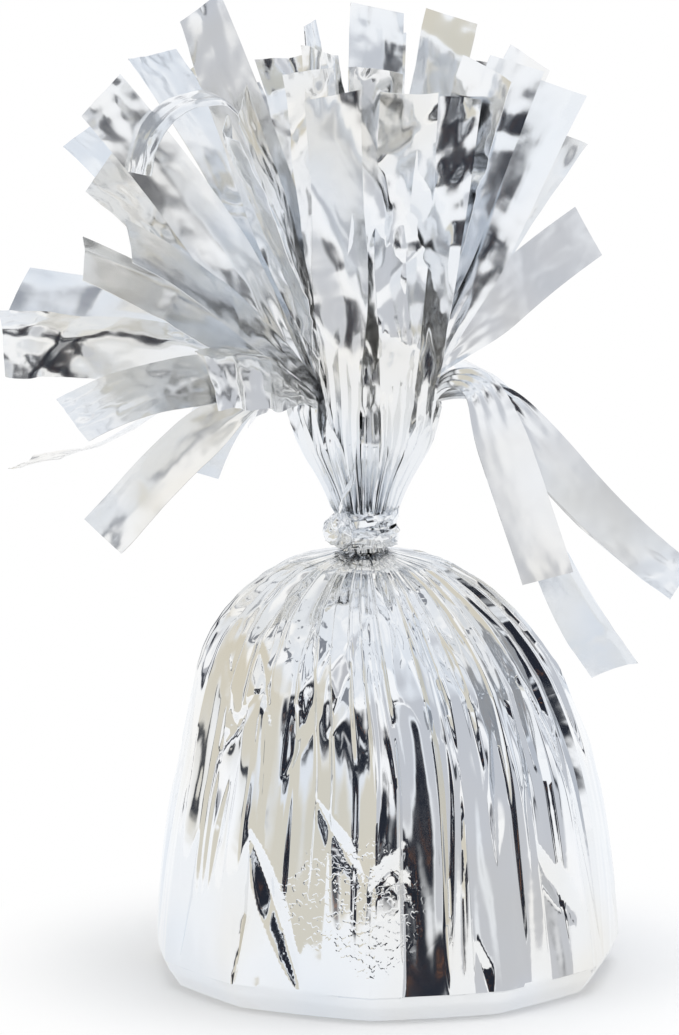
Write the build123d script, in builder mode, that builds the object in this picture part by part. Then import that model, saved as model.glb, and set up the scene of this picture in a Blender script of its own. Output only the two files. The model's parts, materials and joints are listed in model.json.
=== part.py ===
"""Foil balloon weight: a filled bell cup wrapped in pleated metal film, tied at the neck,
with the film's edge slit into a tuft of strips.

Millimetres, +Z up. The origin is the middle of the base, on the surface it stands on.
Azimuth 0 is +X and 90 is +Y. Lean is measured from +Z.
"""

import math
import os

from build123d import *

os.makedirs("parts", exist_ok=True)

# Wrapped body
BASE_RADIUS = 34.2
DOME_HEIGHT = 61.5
DOME_POWER = 2.35
HEM_HEIGHT = 3.5
HEM_INSET = 2.4
BODY_SHARES = (0.195, 0.358, 0.52, 0.65, 0.748, 0.829, 0.894, 0.95)
WAIST_RISE = 0.4
WAIST_RADIUS = 5.0
NECK_SHIFT = -3.0
SHIFT_FROM_Z = 30.0
HEM_FLAT = 0.75
SHOULDER_FLAT = 0.1
FLAT_FADE = (0.49, 0.9)
LINE_SHARE = 0.715
FOLD_DEPTH = 2.0
FOLD_GROWTH = (0.45, 0.85)
PANEL_STEP = 0.8

# Pieces inside the wrap
FILM_WALL = 0.35
FILM_FLOOR = 0.4
FILM_GAP = 0.25
CUP_LEVELS = 5
CUP_WALL = 1.2
CAST_GAP = 0.15
DISC_THICKNESS = 1.2

# Gathered neck and its tie
JOIN_GAP = 0.2
TIE_RISE = 0.7
TIE_HEIGHT = 4.4
TIE_INNER_RADIUS = 3.8
TIE_THICKNESS = 0.9
TIE_ROUND = 0.3
TIE_GAP = 0.2
FLARE_HEIGHT = 16.0
RIM_RADIUS = 11.8
NECK_PLEATS = 14
NECK_PLEAT_DEPTH = 1.5
VALLEY_SHARE = 0.25
VALLEY_STEP = 2.4
FLARE_SHARES = (0.25, 0.55, 0.8, 1.0)
KNOT_AZIMUTH = 231.0
KNOT_WIDTH = 4.4
KNOT_HEIGHT = 5.6
KNOT_DEPTH = 2.6
KNOT_SIDES = 7
KNOT_SECTIONS = ((0.0, 0.8), (0.45, 1.0), (1.0, 0.6))
TAIL_LENGTH = 9.0
TAIL_WIDTH = 2.6
TAIL_AZIMUTH = 291.0
TAIL_LEANS = (30, 45, 60)
TAIL_ROLL = 70.0

# Slit strips of the tuft
FILM = 0.2
STRIP_LENGTH = 50.0
STRIP_WIDTH = 8.0
ROOT_WIDTH = 1.6
WIDE_SHARE = 0.5
MID_SHARE = 0.5
ROOT_GAP = 0.3
RINGS = 4
RIM_MARGIN = 1.4
STATIONS = 9

# Heights and spacings that follow from the sizes above
BODY_LEVELS = [share * DOME_HEIGHT for share in BODY_SHARES]
WAIST_Z = DOME_HEIGHT + WAIST_RISE
TIE_Z = WAIST_Z + TIE_RISE
TIE_TOP = TIE_Z + TIE_HEIGHT
RIM_Z = TIE_TOP + FLARE_HEIGHT
RING_PITCH = (RIM_RADIUS - RIM_MARGIN) / RINGS

# Corners of the hem, in degrees to the right of the front
HEM_CORNERS = (-68, -40, -4, 29, 60, 95, 128, 160, 192, 225, 258)

# Long panels of the wrap: where each starts, in degrees to the right of the front,
# and how straight it is drawn from the hem to the shoulder
PANELS = (
    (-80, 0.3), (-68, 0.1), (-55, 0.35), (-46, 0.15), (-40, 0.3), (-28, 0.5), (-16, 0.2), (-9, 0.45), (-4, 0.1),
    (3, 1.0), (15, 0.3), (21, 0.75), (29, 0.5), (37, 0.15), (44, 0.55), (52, 0.3), (60, 0.6), (70, 0.2),
    (80, 0.3), (95, 0.6), (104, 0.2), (112, 0.5), (128, 0.15), (137, 0.8), (146, 0.35), (160, 0.1), (168, 0.55),
    (180, 0.3), (192, 0.75), (201, 0.2), (214, 0.45), (225, 0.15), (236, 0.6), (248, 0.3), (258, 0.1), (268, 0.5),
)

# Each strip: ring, azimuth, lean at root, middle and tip, place of the middle lean,
# roll of its face, length as a share of the slit
STRIPS = {
    "left": (
        (2, 173, (14, 19, 23), 0.5, -75, 1.16),
        (2, 150, (24, 33, 41), 0.5, -60, 1.12),
        (3, 142, (20, 26, 32), 0.5, -65, 1.02),
        (3, 188, (28, 35, 40), 0.5, -75, 1.05),
        (3, 157, (38, 46, 52), 0.5, -60, 1.02),
        (3, 173, (38, 45, 52), 0.5, -70, 0.87),
        (3, 203, (50, 58, 66), 0.5, -60, 0.82),
        (3, 218, (42, 54, 62), 0.5, -55, 0.84),
        (4, 164, (55, 76, 84), 0.5, -75, 0.88),
        (4, 176, (60, 75, 85), 0.5, -35, 0.40),
        (4, 188, (62, 82, 86), 0.5, -70, 0.85),
        (4, 214, (65, 96, 110), 0.6, -60, 0.79),
        (4, 145, (78, 124, 102), 0.5, -10, 1.12),
        (4, 201, (78, 128, 136), 0.35, -45, 0.72),
        (4, 130, (75, 125, 150), 0.5, 40, 0.72),
        (4, 114, (70, 110, 125), 0.5, -30, 0.64),
        (2, 198, (13, 19, 170), 0.55, -19, 1.30),
        (4, 227, (55, 75, 92), 0.5, -30, 0.45),
    ),
    "top": (
        (1, 215, (4, 6, 8), 0.5, 40, 1.00),
        (1, 135, (7, 10, 12), 0.5, 20, 1.06),
        (2, 233, (6, 10, 14), 0.5, 24, 0.96),
        (1, 70, (1, 2, 4), 0.5, 35, 1.10),
        (1, 355, (8, 10, 12), 0.5, 60, 1.10),
        (2, 328, (15, 18, 20), 0.5, 90, 1.00),
        (2, 0, (16, 19, 22), 0.5, 70, 1.00),
        (2, 25, (20, 24, 28), 0.5, 70, 1.03),
        (3, 5, (22, 25, 27), 0.5, 70, 0.96),
    ),
    "right": (
        (3, 32, (50, 56, 62), 0.5, 65, 0.74),
        (4, 332, (35, 158, 160), 0.35, 40, 0.76),
        (4, 352, (75, 142, 126), 0.3, 60, 0.92),
        (4, 12, (78, 146, 128), 0.3, 60, 0.90),
        (4, 36, (78, 166, 140), 0.4, 50, 1.28),
    ),
    "front": (
        (4, 253, (5, 6, 7), 0.5, 2, 0.90),
        (3, 278, (4, 5, 6), 0.5, 16, 0.95),
        (4, 295, (4, 5, 6), 0.5, -18, 0.90),
        (4, 318, (6, 8, 9), 0.5, -64, 0.88),
        (4, 240, (26, 35, 42), 0.5, -60, 1.00),
        (3, 234, (18, 26, 34), 0.5, -50, 0.98),
    ),
    "back": (
        (4, 48, (35, 45, 55), 0.5, 30, 0.95),
        (4, 66, (60, 105, 125), 0.5, 20, 0.80),
        (4, 82, (50, 70, 85), 0.5, -20, 1.00),
        (4, 98, (60, 90, 112), 0.5, 20, 0.95),
        (3, 55, (25, 32, 40), 0.5, 30, 1.00),
        (3, 78, (30, 40, 50), 0.5, -25, 1.00),
        (3, 100, (35, 50, 62), 0.5, 25, 1.00),
        (3, 121, (28, 36, 45), 0.5, -40, 1.00),
        (2, 55, (16, 22, 30), 0.5, 35, 1.00),
        (2, 85, (14, 20, 24), 0.5, 5, 1.05),
        (2, 118, (16, 22, 30), 0.5, -35, 1.00),
    ),
}


def ease(share):
    """Smooth rise from 0 to 1."""
    share = max(0.0, min(1.0, share))
    return share * share * (3 - 2 * share)


def dome_radius(z):
    """Outer radius of the wrapped body at a height."""
    return BASE_RADIUS * (1 - (z / DOME_HEIGHT) ** DOME_POWER) ** (1 / DOME_POWER)


def body_shift(z):
    """Sideways lean of the wrap towards the neck at a height."""
    return NECK_SHIFT * ease((z - SHIFT_FROM_Z) / (WAIST_Z - SHIFT_FROM_Z))


def fade(share, limits):
    """Smooth rise from 0 to 1 between two limits."""
    low, high = limits
    return ease((share - low) / (high - low))


def hem_cut(turn):
    """How far the flat sides between the hem's corners lie inside the circle, as a share of its radius."""
    if turn < HEM_CORNERS[0]:
        turn += 360
    for start, end in zip(HEM_CORNERS, HEM_CORNERS[1:] + (HEM_CORNERS[0] + 360,)):
        if start <= turn <= end:
            half = math.radians(end - start) / 2
            return 1 - math.cos(half) / math.cos(math.radians(turn - start) - half)


def panel_inset(z, radius, turn, straight, fold):
    """How far a panel lies inside the round bell; fold is 1 at the sunk edge of a panel and 0 at its raised one."""
    share = z / DOME_HEIGHT
    flat = HEM_FLAT - (HEM_FLAT - SHOULDER_FLAT) * fade(share, FLAT_FADE)
    inset = radius * hem_cut(turn) * flat
    line_top = LINE_SHARE * DOME_HEIGHT
    if HEM_HEIGHT < z < line_top:
        drop = (BASE_RADIUS - dome_radius(line_top)) * (z - HEM_HEIGHT) / (line_top - HEM_HEIGHT)
        inset += straight * max(0.0, radius - BASE_RADIUS + drop)
    return inset + fold * FOLD_DEPTH * fade(share, FOLD_GROWTH) * radius / BASE_RADIUS


def panel_edges(z, radius):
    """Angle and radius of both edges of every panel at a height."""
    ends = [turn for turn, _ in PANELS[1:]] + [PANELS[0][0] + 360]
    edges = []
    for (turn, straight), end in zip(PANELS, ends):
        for edge, fold in ((turn + PANEL_STEP, 0.0), (end, 1.0)):
            edges.append((math.radians(edge - 90), radius - panel_inset(z, radius, edge, straight, fold)))
    return edges


def panel_outline(z, radius, shift):
    """Outline of the wrap at a height."""
    return [(shift + out * math.cos(angle), out * math.sin(angle)) for angle, out in panel_edges(z, radius)]


def least_radius(z, radius):
    """Radius of a circle that fits inside the wrap's outline at a height."""
    edges = panel_edges(z, radius)
    widest = max(after[0] - before[0] for before, after in zip(edges, edges[1:]))
    return min(out for _, out in edges) * math.cos(widest / 2)


def pleat_ring(count, depth_share):
    """Unit outline of a pleated ring: ridges at radius 1, valleys of uneven depth."""
    points = []
    for i in range(2 * count):
        angle = math.pi * i / count
        uneven = 1 - VALLEY_SHARE * (1 - math.sin(VALLEY_STEP * i))
        radius = 1.0 if i % 2 == 0 else 1.0 - depth_share * uneven
        points.append((radius * math.cos(angle), radius * math.sin(angle)))
    return points


def pleated_solid(outlines):
    """Loft straight-sided outlines, each given with its height."""
    with BuildPart() as pleated:
        for z, points in outlines:
            with BuildSketch(Plane.XY.offset(z)):
                with BuildLine():
                    Polyline(points, close=True)
                make_face()
        loft(ruled=True)
    return pleated.part


def bell(slack, floor_z, top_drop):
    """Solid of revolution inside the wrap, drawn in from its deepest panels by a slack."""
    hem_radius = least_radius(HEM_HEIGHT, BASE_RADIUS) - slack
    outline = [(0, floor_z), (hem_radius - HEM_INSET, floor_z), (hem_radius, HEM_HEIGHT)]
    top_z = BODY_LEVELS[CUP_LEVELS] - top_drop
    for z in BODY_LEVELS[:CUP_LEVELS] + [top_z]:
        outline.append((least_radius(z, dome_radius(z)) - abs(body_shift(z)) - slack, z))
    outline.append((0, top_z))
    with BuildPart() as turned:
        with BuildSketch(Plane.XZ):
            with BuildLine():
                Polyline(outline, close=True)
            make_face()
        revolve(axis=Axis.Z)
    return turned.part


def heading(azimuth, lean):
    """Unit direction for an azimuth and a lean in degrees."""
    turn = math.radians(azimuth)
    tilt = math.radians(lean)
    return Vector(math.sin(tilt) * math.cos(turn), math.sin(tilt) * math.sin(turn), math.cos(tilt))


def lean_along(leans, middle, share):
    """Lean of a strip at a share of its length."""
    root, centre, tip = leans
    if share < middle:
        return root + (centre - root) * ease(share / middle)
    return centre + (tip - centre) * ease((share - middle) / (1 - middle))


def film_strip(root, azimuth, leans, middle, roll, length, root_width, tip_width):
    """One bent strip of film, lofted through thin rectangles along its length."""
    spans = STATIONS - 1
    side = heading(azimuth + 90, 90)
    point = root
    with BuildPart() as strip:
        for station in range(STATIONS):
            share = station / spans
            along = heading(azimuth, lean_along(leans, middle, share))
            across = side.rotate(Axis((0, 0, 0), along), roll)
            width = root_width + (tip_width - root_width) * ease(share / WIDE_SHARE)
            with BuildSketch(Plane(origin=point, x_dir=across, z_dir=along)):
                Rectangle(width, FILM)
            half_step = min(1.0, share + 0.5 / spans)
            point = point + heading(azimuth, lean_along(leans, middle, half_step)) * (length / spans)
        loft(ruled=True)
    return strip.part


def save(part, name):
    """Label a finished piece and write it."""
    part.label = name
    export_step(part, f"parts/{name}.step")


# Pleated film wrap, closed under the base, with room for the cup
body_levels = [(0, BASE_RADIUS - HEM_INSET, 0), (HEM_HEIGHT, BASE_RADIUS, 0)]
body_levels += [(z, dome_radius(z), body_shift(z)) for z in BODY_LEVELS]
body_levels += [(WAIST_Z, WAIST_RADIUS, NECK_SHIFT)]
cup_slack = FILM_WALL + FILM_GAP
cup_floor = FILM_FLOOR + JOIN_GAP
with BuildPart() as foil_wrap:
    add(pleated_solid([(z, panel_outline(z, radius, shift)) for z, radius, shift in body_levels]))
    add(bell(FILM_WALL, FILM_FLOOR, 0), mode=Mode.SUBTRACT)
save(foil_wrap.part, "foil_wrap")

# Bell cup with its mouth down
with BuildPart() as bell_cup:
    add(bell(cup_slack, cup_floor, FILM_GAP))
    add(bell(cup_slack + CUP_WALL, cup_floor, FILM_GAP + CUP_WALL), mode=Mode.SUBTRACT)
save(bell_cup.part, "bell_cup")

# Cast fill, which leaves room for the disc that closes the cup
cast_slack = cup_slack + CUP_WALL + CAST_GAP
disc_top = cup_floor + DISC_THICKNESS
cast_drop = FILM_GAP + CUP_WALL + CAST_GAP
with BuildPart() as weight_fill:
    add(bell(cast_slack, cup_floor, cast_drop))
    with Locations((0, 0, cup_floor)):
        Cylinder(BASE_RADIUS, DISC_THICKNESS + CAST_GAP, align=(Align.CENTER, Align.CENTER, Align.MIN),
                 mode=Mode.SUBTRACT)
save(weight_fill.part, "weight_fill")

with BuildPart() as base_disc:
    add(bell(cast_slack, cup_floor, cast_drop))
    with Locations((0, 0, disc_top)):
        Cylinder(BASE_RADIUS, DOME_HEIGHT, align=(Align.CENTER, Align.CENTER, Align.MIN), mode=Mode.SUBTRACT)
save(base_disc.part, "base_disc")

# Gathered neck: drawn in under the tie, flared to the rim that the strips stand on
throat_radius = TIE_INNER_RADIUS - TIE_GAP
flare = RIM_RADIUS - throat_radius
neck_levels = [(WAIST_Z + JOIN_GAP, WAIST_RADIUS - JOIN_GAP, NECK_SHIFT)]
neck_levels += [(TIE_Z, throat_radius, NECK_SHIFT), (TIE_TOP, throat_radius, NECK_SHIFT)]
for share in FLARE_SHARES:
    neck_levels.append((TIE_TOP + FLARE_HEIGHT * share, throat_radius + flare * ease(share), NECK_SHIFT))
neck_ring = pleat_ring(NECK_PLEATS, NECK_PLEAT_DEPTH / RIM_RADIUS)
foil_neck = pleated_solid([(z, [(shift + radius * x, radius * y) for x, y in neck_ring])
                           for z, radius, shift in neck_levels])
save(foil_neck, "foil_neck")

# Tie: a film band round the neck, with its knot and one loose end
tie_outer = TIE_INNER_RADIUS + TIE_THICKNESS
with BuildPart() as tie_band:
    with BuildSketch(Plane.XY.offset(TIE_Z)):
        with Locations((NECK_SHIFT, 0)):
            Circle(tie_outer)
            Circle(TIE_INNER_RADIUS, mode=Mode.SUBTRACT)
    extrude(amount=TIE_HEIGHT)
    fillet(tie_band.edges().filter_by(GeomType.CIRCLE), TIE_ROUND)
save(tie_band.part, "tie_band")

knot_out = heading(KNOT_AZIMUTH, 90)
knot_centre = Vector(NECK_SHIFT, 0, TIE_Z + TIE_HEIGHT / 2)
with BuildPart() as tie_knot:
    for depth, size in KNOT_SECTIONS:
        seat = knot_centre + knot_out * (tie_outer + TIE_GAP + depth * KNOT_DEPTH)
        with BuildSketch(Plane(origin=seat, x_dir=heading(KNOT_AZIMUTH + 90, 90), z_dir=knot_out)):
            with BuildLine():
                Polyline([(size * KNOT_WIDTH / 2 * math.cos(2 * math.pi * i / KNOT_SIDES),
                           size * KNOT_HEIGHT / 2 * math.sin(2 * math.pi * i / KNOT_SIDES))
                          for i in range(KNOT_SIDES)], close=True)
            make_face()
    loft(ruled=True)
save(tie_knot.part, "tie_knot")

tail_root = knot_centre + knot_out * (tie_outer + TIE_GAP + KNOT_DEPTH / 2)
tail_root += Vector(0, 0, KNOT_HEIGHT / 2 + ROOT_GAP)
tie_end = film_strip(tail_root, TAIL_AZIMUTH, TAIL_LEANS, MID_SHARE, TAIL_ROLL,
                     TAIL_LENGTH, ROOT_WIDTH, TAIL_WIDTH)
save(tie_end, "tie_end")

# Tuft of slit strips, rooted in rings on top of the neck
for group, rows in STRIPS.items():
    for number, (ring, azimuth, leans, middle, roll, share) in enumerate(rows, start=1):
        low_corner = ROOT_WIDTH / 2 * abs(math.sin(math.radians(roll))) * math.sin(math.radians(leans[0]))
        root = Vector(NECK_SHIFT, 0, RIM_Z + ROOT_GAP + low_corner) + heading(azimuth, 90) * (ring * RING_PITCH)
        strip = film_strip(root, azimuth, leans, middle, roll, STRIP_LENGTH * share, ROOT_WIDTH, STRIP_WIDTH)
        save(strip, f"strip_{group}_{number:02d}")
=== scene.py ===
"""Foil balloon weight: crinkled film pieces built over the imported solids, with a plain studio stage."""

import bisect
import json
import random
from math import atan2, cos, hypot, pi, radians, sin, tau
from typing import NamedTuple

import bmesh
import bpy
from bpy.props import FloatProperty, FloatVectorProperty, IntProperty, PointerProperty
from mathutils import Matrix, Quaternion, Vector, noise


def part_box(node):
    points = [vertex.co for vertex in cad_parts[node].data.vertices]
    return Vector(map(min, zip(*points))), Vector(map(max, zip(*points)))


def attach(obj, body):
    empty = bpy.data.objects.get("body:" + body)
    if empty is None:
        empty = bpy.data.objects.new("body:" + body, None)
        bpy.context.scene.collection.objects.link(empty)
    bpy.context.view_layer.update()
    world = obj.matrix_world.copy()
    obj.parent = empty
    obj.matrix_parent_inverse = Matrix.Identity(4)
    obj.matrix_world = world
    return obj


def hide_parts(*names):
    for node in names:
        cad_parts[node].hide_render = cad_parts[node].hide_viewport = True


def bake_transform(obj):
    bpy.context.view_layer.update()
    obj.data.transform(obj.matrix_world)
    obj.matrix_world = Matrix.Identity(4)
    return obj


bl_info = {
    "name": "Foil balloon weight",
    "version": (1, 0, 0),
    "blender": (4, 5, 0),
    "location": "View3D > Sidebar > Balloon weight",
    "description": "Builds the film wrap, neck, tie and slit strips of a foil balloon weight",
    "category": "Add Mesh",
}

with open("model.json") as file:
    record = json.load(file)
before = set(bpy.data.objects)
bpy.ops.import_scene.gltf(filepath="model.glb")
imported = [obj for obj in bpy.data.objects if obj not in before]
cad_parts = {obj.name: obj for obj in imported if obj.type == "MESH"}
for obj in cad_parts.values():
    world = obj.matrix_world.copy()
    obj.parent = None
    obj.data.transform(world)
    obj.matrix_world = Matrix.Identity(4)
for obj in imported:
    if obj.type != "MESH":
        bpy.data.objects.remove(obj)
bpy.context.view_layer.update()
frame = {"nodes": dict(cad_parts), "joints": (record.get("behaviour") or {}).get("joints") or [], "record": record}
_, WRAP_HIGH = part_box("foil_wrap")
NECK_LOW, NECK_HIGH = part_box("foil_neck")
BAND_LOW, BAND_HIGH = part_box("tie_band")
NECK_X = (BAND_LOW.x + BAND_HIGH.x) / 2
MM = 0.001

# Each strip of the tuft: ring, azimuth, leans, roll, share of the slit length, crumple, and where they differ
# from the usual, twist, middle and sway
STRIPS = {
    "left": (
        (2, 173, (14, 19, 23), -75, 1.16, 0.25, 24),
        (2, 150, (24, 33, 41), -60, 1.12, 0.3, 30),
        (3, 142, (20, 26, 32), -65, 1.02, 0.4, -10),
        (3, 188, (28, 35, 40), -75, 1.05, 0.15, -10),
        (3, 157, (38, 46, 52), -60, 1.02, 0.3, 30),
        (3, 173, (38, 45, 52), -70, 0.87, 0.5, 30),
        (3, 203, (50, 58, 66), -60, 0.82, 0.15, 22),
        (3, 218, (42, 54, 62), -55, 0.84, 0.1, 8),
        (4, 164, (55, 76, 84), -75, 0.88, 0.1, 30),
        (4, 176, (60, 75, 85), -35, 0.4, 0.4),
        (4, 188, (62, 82, 86), -70, 0.85, 0.7, 25),
        (4, 214, (65, 96, 110), -60, 0.79, 0.4, 16, 0.6),
        (4, 145, (78, 124, 102), -10, 1.12, 0.3),
        (4, 201, (78, 128, 136), -45, 0.72, 0.2, None, 0.35),
        (4, 130, (75, 125, 150), 40, 0.72, 0.3),
        (4, 114, (70, 110, 125), -30, 0.64, 0.4),
        (2, 198, (13, 19, 170), -19, 1.3, 0.4, 12, 0.55),
        (4, 227, (55, 75, 92), -30, 0.45, 0.7),
    ),
    "top": (
        (1, 215, (4, 6, 8), 40, 1.0, 0.5),
        (1, 135, (7, 10, 12), 20, 1.06, 0.4),
        (2, 233, (6, 10, 14), 24, 0.96, 0.5),
        (1, 70, (1, 2, 4), 35, 1.1, 0.3),
        (1, 355, (8, 10, 12), 60, 1.1, 0.3),
        (2, 328, (15, 18, 20), 90, 1.0, 0.5),
        (2, 0, (16, 19, 22), 70, 1.0, 0.2, 30),
        (2, 25, (20, 24, 28), 70, 1.03, 0.15, 28),
        (3, 5, (22, 25, 27), 70, 0.96, 0.15, 32),
    ),
    "right": (
        (3, 32, (50, 56, 62), 65, 0.74, 0.1, 0),
        (4, 332, (35, 158, 160), 40, 0.76, 0.05, 0, 0.35),
        (4, 352, (75, 142, 126), 60, 0.92, 0.1, -20, 0.3),
        (4, 12, (78, 146, 128), 60, 0.9, 0.15, -28, 0.3),
        (4, 36, (78, 166, 140), 50, 1.28, 0.2, -75, 0.4),
    ),
    "front": (
        (4, 253, (5, 6, 7), 2, 0.9, 0.25, None, 0.5, (1.7, 4.3)),
        (3, 278, (4, 5, 6), 16, 0.95, 0.6, None, 0.5, (2.4, 1.0)),
        (4, 295, (4, 5, 6), -18, 0.9, 0.65, None, 0.5, (2.4, 3.6)),
        (4, 318, (6, 8, 9), -64, 0.88, 0.6, None, 0.5, (2.0, 0.3)),
        (4, 240, (26, 35, 42), -60, 1.0, 0.6),
        (3, 234, (18, 26, 34), -50, 0.98, 0.6),
    ),
    "back": (
        (4, 48, (35, 45, 55), 30, 0.95, 0.3),
        (4, 66, (60, 105, 125), 20, 0.8, 0.2),
        (4, 82, (50, 70, 85), -20, 1.0, 0.3),
        (4, 98, (60, 90, 112), 20, 0.95, 0.2),
        (3, 55, (25, 32, 40), 30, 1.0, 0.4),
        (3, 78, (30, 40, 50), -25, 1.0, 0.3),
        (3, 100, (35, 50, 62), 25, 1.0, 0.3),
        (3, 121, (28, 36, 45), -40, 1.0, 0.2),
        (2, 55, (16, 22, 30), 35, 1.0, 0.5),
        (2, 85, (14, 20, 24), 5, 1.05, 0.4),
        (2, 118, (16, 22, 30), -35, 1.0, 0.5),
    ),
}
ROOT_WIDTHS = {"front": 0.0048}

# Corners of the hem, in degrees to the right of the front
HEM_CORNERS = (-68, -40, -4, 29, 60, 95, 128, 160, 192, 225, 258)

# Long panels: where each starts, and how straight it is drawn from hem to shoulder
PANELS = (
    (-80, 0.3175), (-68, 0.1875), (-55, 0.35), (-46, 0.22), (-40, 0.3175), (-28, 0.4475),
    (-16, 0.2525), (-9, 0.415), (-4, 0.1875), (3, 1), (15, 0.3175), (21, 1),
    (29, 1), (37, 0.6425), (44, 1), (52, 0.5125), (60, 0.7075), (70, 0.2525),
    (80, 0.3175), (95, 0.5125), (104, 0.2525), (112, 0.4475), (128, 0.22), (137, 0.6425),
    (146, 0.35), (160, 0.1875), (168, 0.48), (180, 0.3175), (192, 0.61), (201, 0.2525),
    (214, 0.415), (225, 0.22), (236, 0.5125), (248, 0.3175), (258, 0.1875), (268, 0.4475),
)

# Rows and columns of the meshes, steps of a centre line and distance under which points are one
WRAP_ROWS, WRAP_STEPS = 116, 760
NECK_ROWS, NECK_STEPS = 44, 360
TIE_ROWS, TIE_SIDES, TIE_STEPS = 8, 18, 150
STRIP_GRID = (16, 100)
END_GRID = (6, 26)
LINE_STEPS = 60
MERGED = 1e-6

# Starting values of the random draws
WRAP_SEED, NECK_SEED, END_SEED = 11, 5, 91

# Heights between which each feature of the wrap sets in
CORNER_SPAN = (30 * MM, 55 * MM)
PANEL_SPAN = (3.5 * MM, 44 * MM)
SHOULDER_SPAN = (27.7 * MM, 52.3 * MM)
EDGE_SPAN = (1 * MM, 6 * MM)
CRUMPLE_SPAN = (38 * MM, 50 * MM)
PINCH_SPAN = (59.5 * MM, 61.5 * MM)
LEAN_SPAN = (30 * MM, WRAP_HIGH.z)

# Relief of the wrap: turn and depth of a shoulder fold, rise of the tuck over the hem, heights of its waves and
# crumple, how far the film lies inside the bell and may stand out of it, lengths over which creases and gathers
# grow, number of gathers and of dents at the back
FOLD_TURN = radians(1.2)
FOLD_DEPTH = 2.0 * MM
TUCK_RISE = 0.35 * MM
WAVE_HEIGHT = 0.28 * MM
FINE_WAVE_HEIGHT = 0.09 * MM
CRUMPLE_HEIGHT = 0.6 * MM
SKIN_INSET = 0.15 * MM
SKIN_BULGE = 0.25 * MM
CREASE_GROWTH = 14 * MM
GATHER_GROWTH = 8 * MM
GATHER_COUNT = 13
BACK_DENTS = 48

# Creases of the wrap: lowest and highest start in mm, and how many
CREASE_BANDS = ((0.0, 3, 14), (6, 20, 14), (20, 34, 18), (34, 46, 22))

# Neck and tie: how far the neck's film ends below the rim, depth of its pleats, height of its creases and of its
# ragged edge, radius and inset of the twisted film
SLIT_DEPTH = 5.5 * MM
PLEAT_DEPTH = 1.1 * MM
NECK_CREASE = 0.3 * MM
RAGGED_EDGE = 1.6 * MM
TIE_RADIUS = 1.12 * MM
TIE_INSET = 0.75 * MM

# Turns of the tie: rise, and tilt towards a direction in degrees
TIE_TURNS = ((-1.0 * MM, 7.0, 40.0), (0.95 * MM, -9.0, 70.0))

# Loose end of the tie, in the values of a strip, and its length, root width and width
TIE_END = (0, 291, (30, 45, 60), 70, 1.0, 0.3)
END_SIZES = (9 * MM, 1.6 * MM, 2.6 * MM)

# Strips: outermost ring, gap above the rim, lift of a turned root, gap of a foot from the neck, its rows of
# 1 mm, those that turn, how far and where it sinks inside the tie, a reach along a strip from its hinge, and
# share of the length over which a strip opens
OUTER_RING = 4
ROOT_GAP = 0.3 * MM
ROOT_LIFT = 0.8 * MM
FOOT_GAP = 0.35 * MM
FOOT_ROWS = 19
FOOT_TURN_ROWS = 7
FOOT_SINK = 1.5 * MM
FOOT_SINK_ROWS = (15, 18)
HINGE_REACH = 9 * MM
OPEN_SHARE = 0.5

# Relief of a strip: heights of its kinks, ripples, crinkles and turned corner, and the share where its tip begins
KINK_HEIGHT = 0.9 * MM
RIPPLE_HEIGHT = 0.8 * MM
CRINKLE_HEIGHT = 0.5 * MM
CORNER_HEIGHT = 1.2 * MM
TIP_SHARE = 0.86

# Floor: share that the film mirrors as light, and distances over which it fades to white
FLOOR_GLOW = 0.6
FLOOR_FADE = (0.033, 0.068)

# Sides of the room
WARM_SIDE = (0.74, 0.7, 0.6)
GREY_SIDE = (0.62, 0.635, 0.67)

# Pinched dents at the front: place round the body, height, half height, half width, depth and lean
FRONT_DENTS = (
    (33, 30, 9, 2.6, 0.75, 0.15), (43, 28, 9, 1.2, 0.4, 0.1), (50, 17, 6, 2.6, 0.7, -0.5),
    (-13, 25, 6, 2.4, 0.7, -0.7), (-30, 15, 11, 2.4, 0.8, -0.45), (-39, 14, 11, 1.3, 0.9, 0.05),
    (-24, 42, 9, 2.6, 0.8, 0.4), (-50, 24, 8, 1.3, 0.4, 0.1), (14, 46, 8, 3.2, 0.8, -0.2),
    (26, 49, 7, 2.6, 0.7, -0.4), (-10, 47, 8, 3.0, 0.8, 0.45), (58, 36, 14, 1.0, 0.4, -0.25),
    (0, 21, 3.5, 2.4, 0.6, 0.8), (3, 20, 3, 2.0, 0.5, -0.8), (-60, 14, 10, 1.6, 0.6, 0.12),
    (66, 22, 10, 1.0, 0.4, -0.15), (-48, 40, 6, 2.2, 0.6, 0.8), (-56, 43, 5, 2.0, 0.6, -0.6),
    (-40, 46, 6, 1.8, 0.6, -0.5), (24, 7, 4, 1.6, 0.5, -0.2),
)


class FilmSettings(bpy.types.PropertyGroup):
    """Colours and thickness of the metallised film."""

    silver: FloatVectorProperty(
        name="Silver", description="Main colour of the film", subtype="COLOR",
        default=(0.87, 0.885, 0.905), min=0.0, max=1.0)
    cool: FloatVectorProperty(
        name="Cool silver", description="Bluish tint where the film is smooth", subtype="COLOR",
        default=(0.82, 0.855, 0.9), min=0.0, max=1.0)
    warm: FloatVectorProperty(
        name="Warm silver", description="Warm tint where the film is rubbed", subtype="COLOR",
        default=(0.86, 0.845, 0.81), min=0.0, max=1.0)
    thickness: FloatProperty(
        name="Film thickness", description="Thickness given to the film", unit="LENGTH",
        default=0.00009, precision=5)


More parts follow.
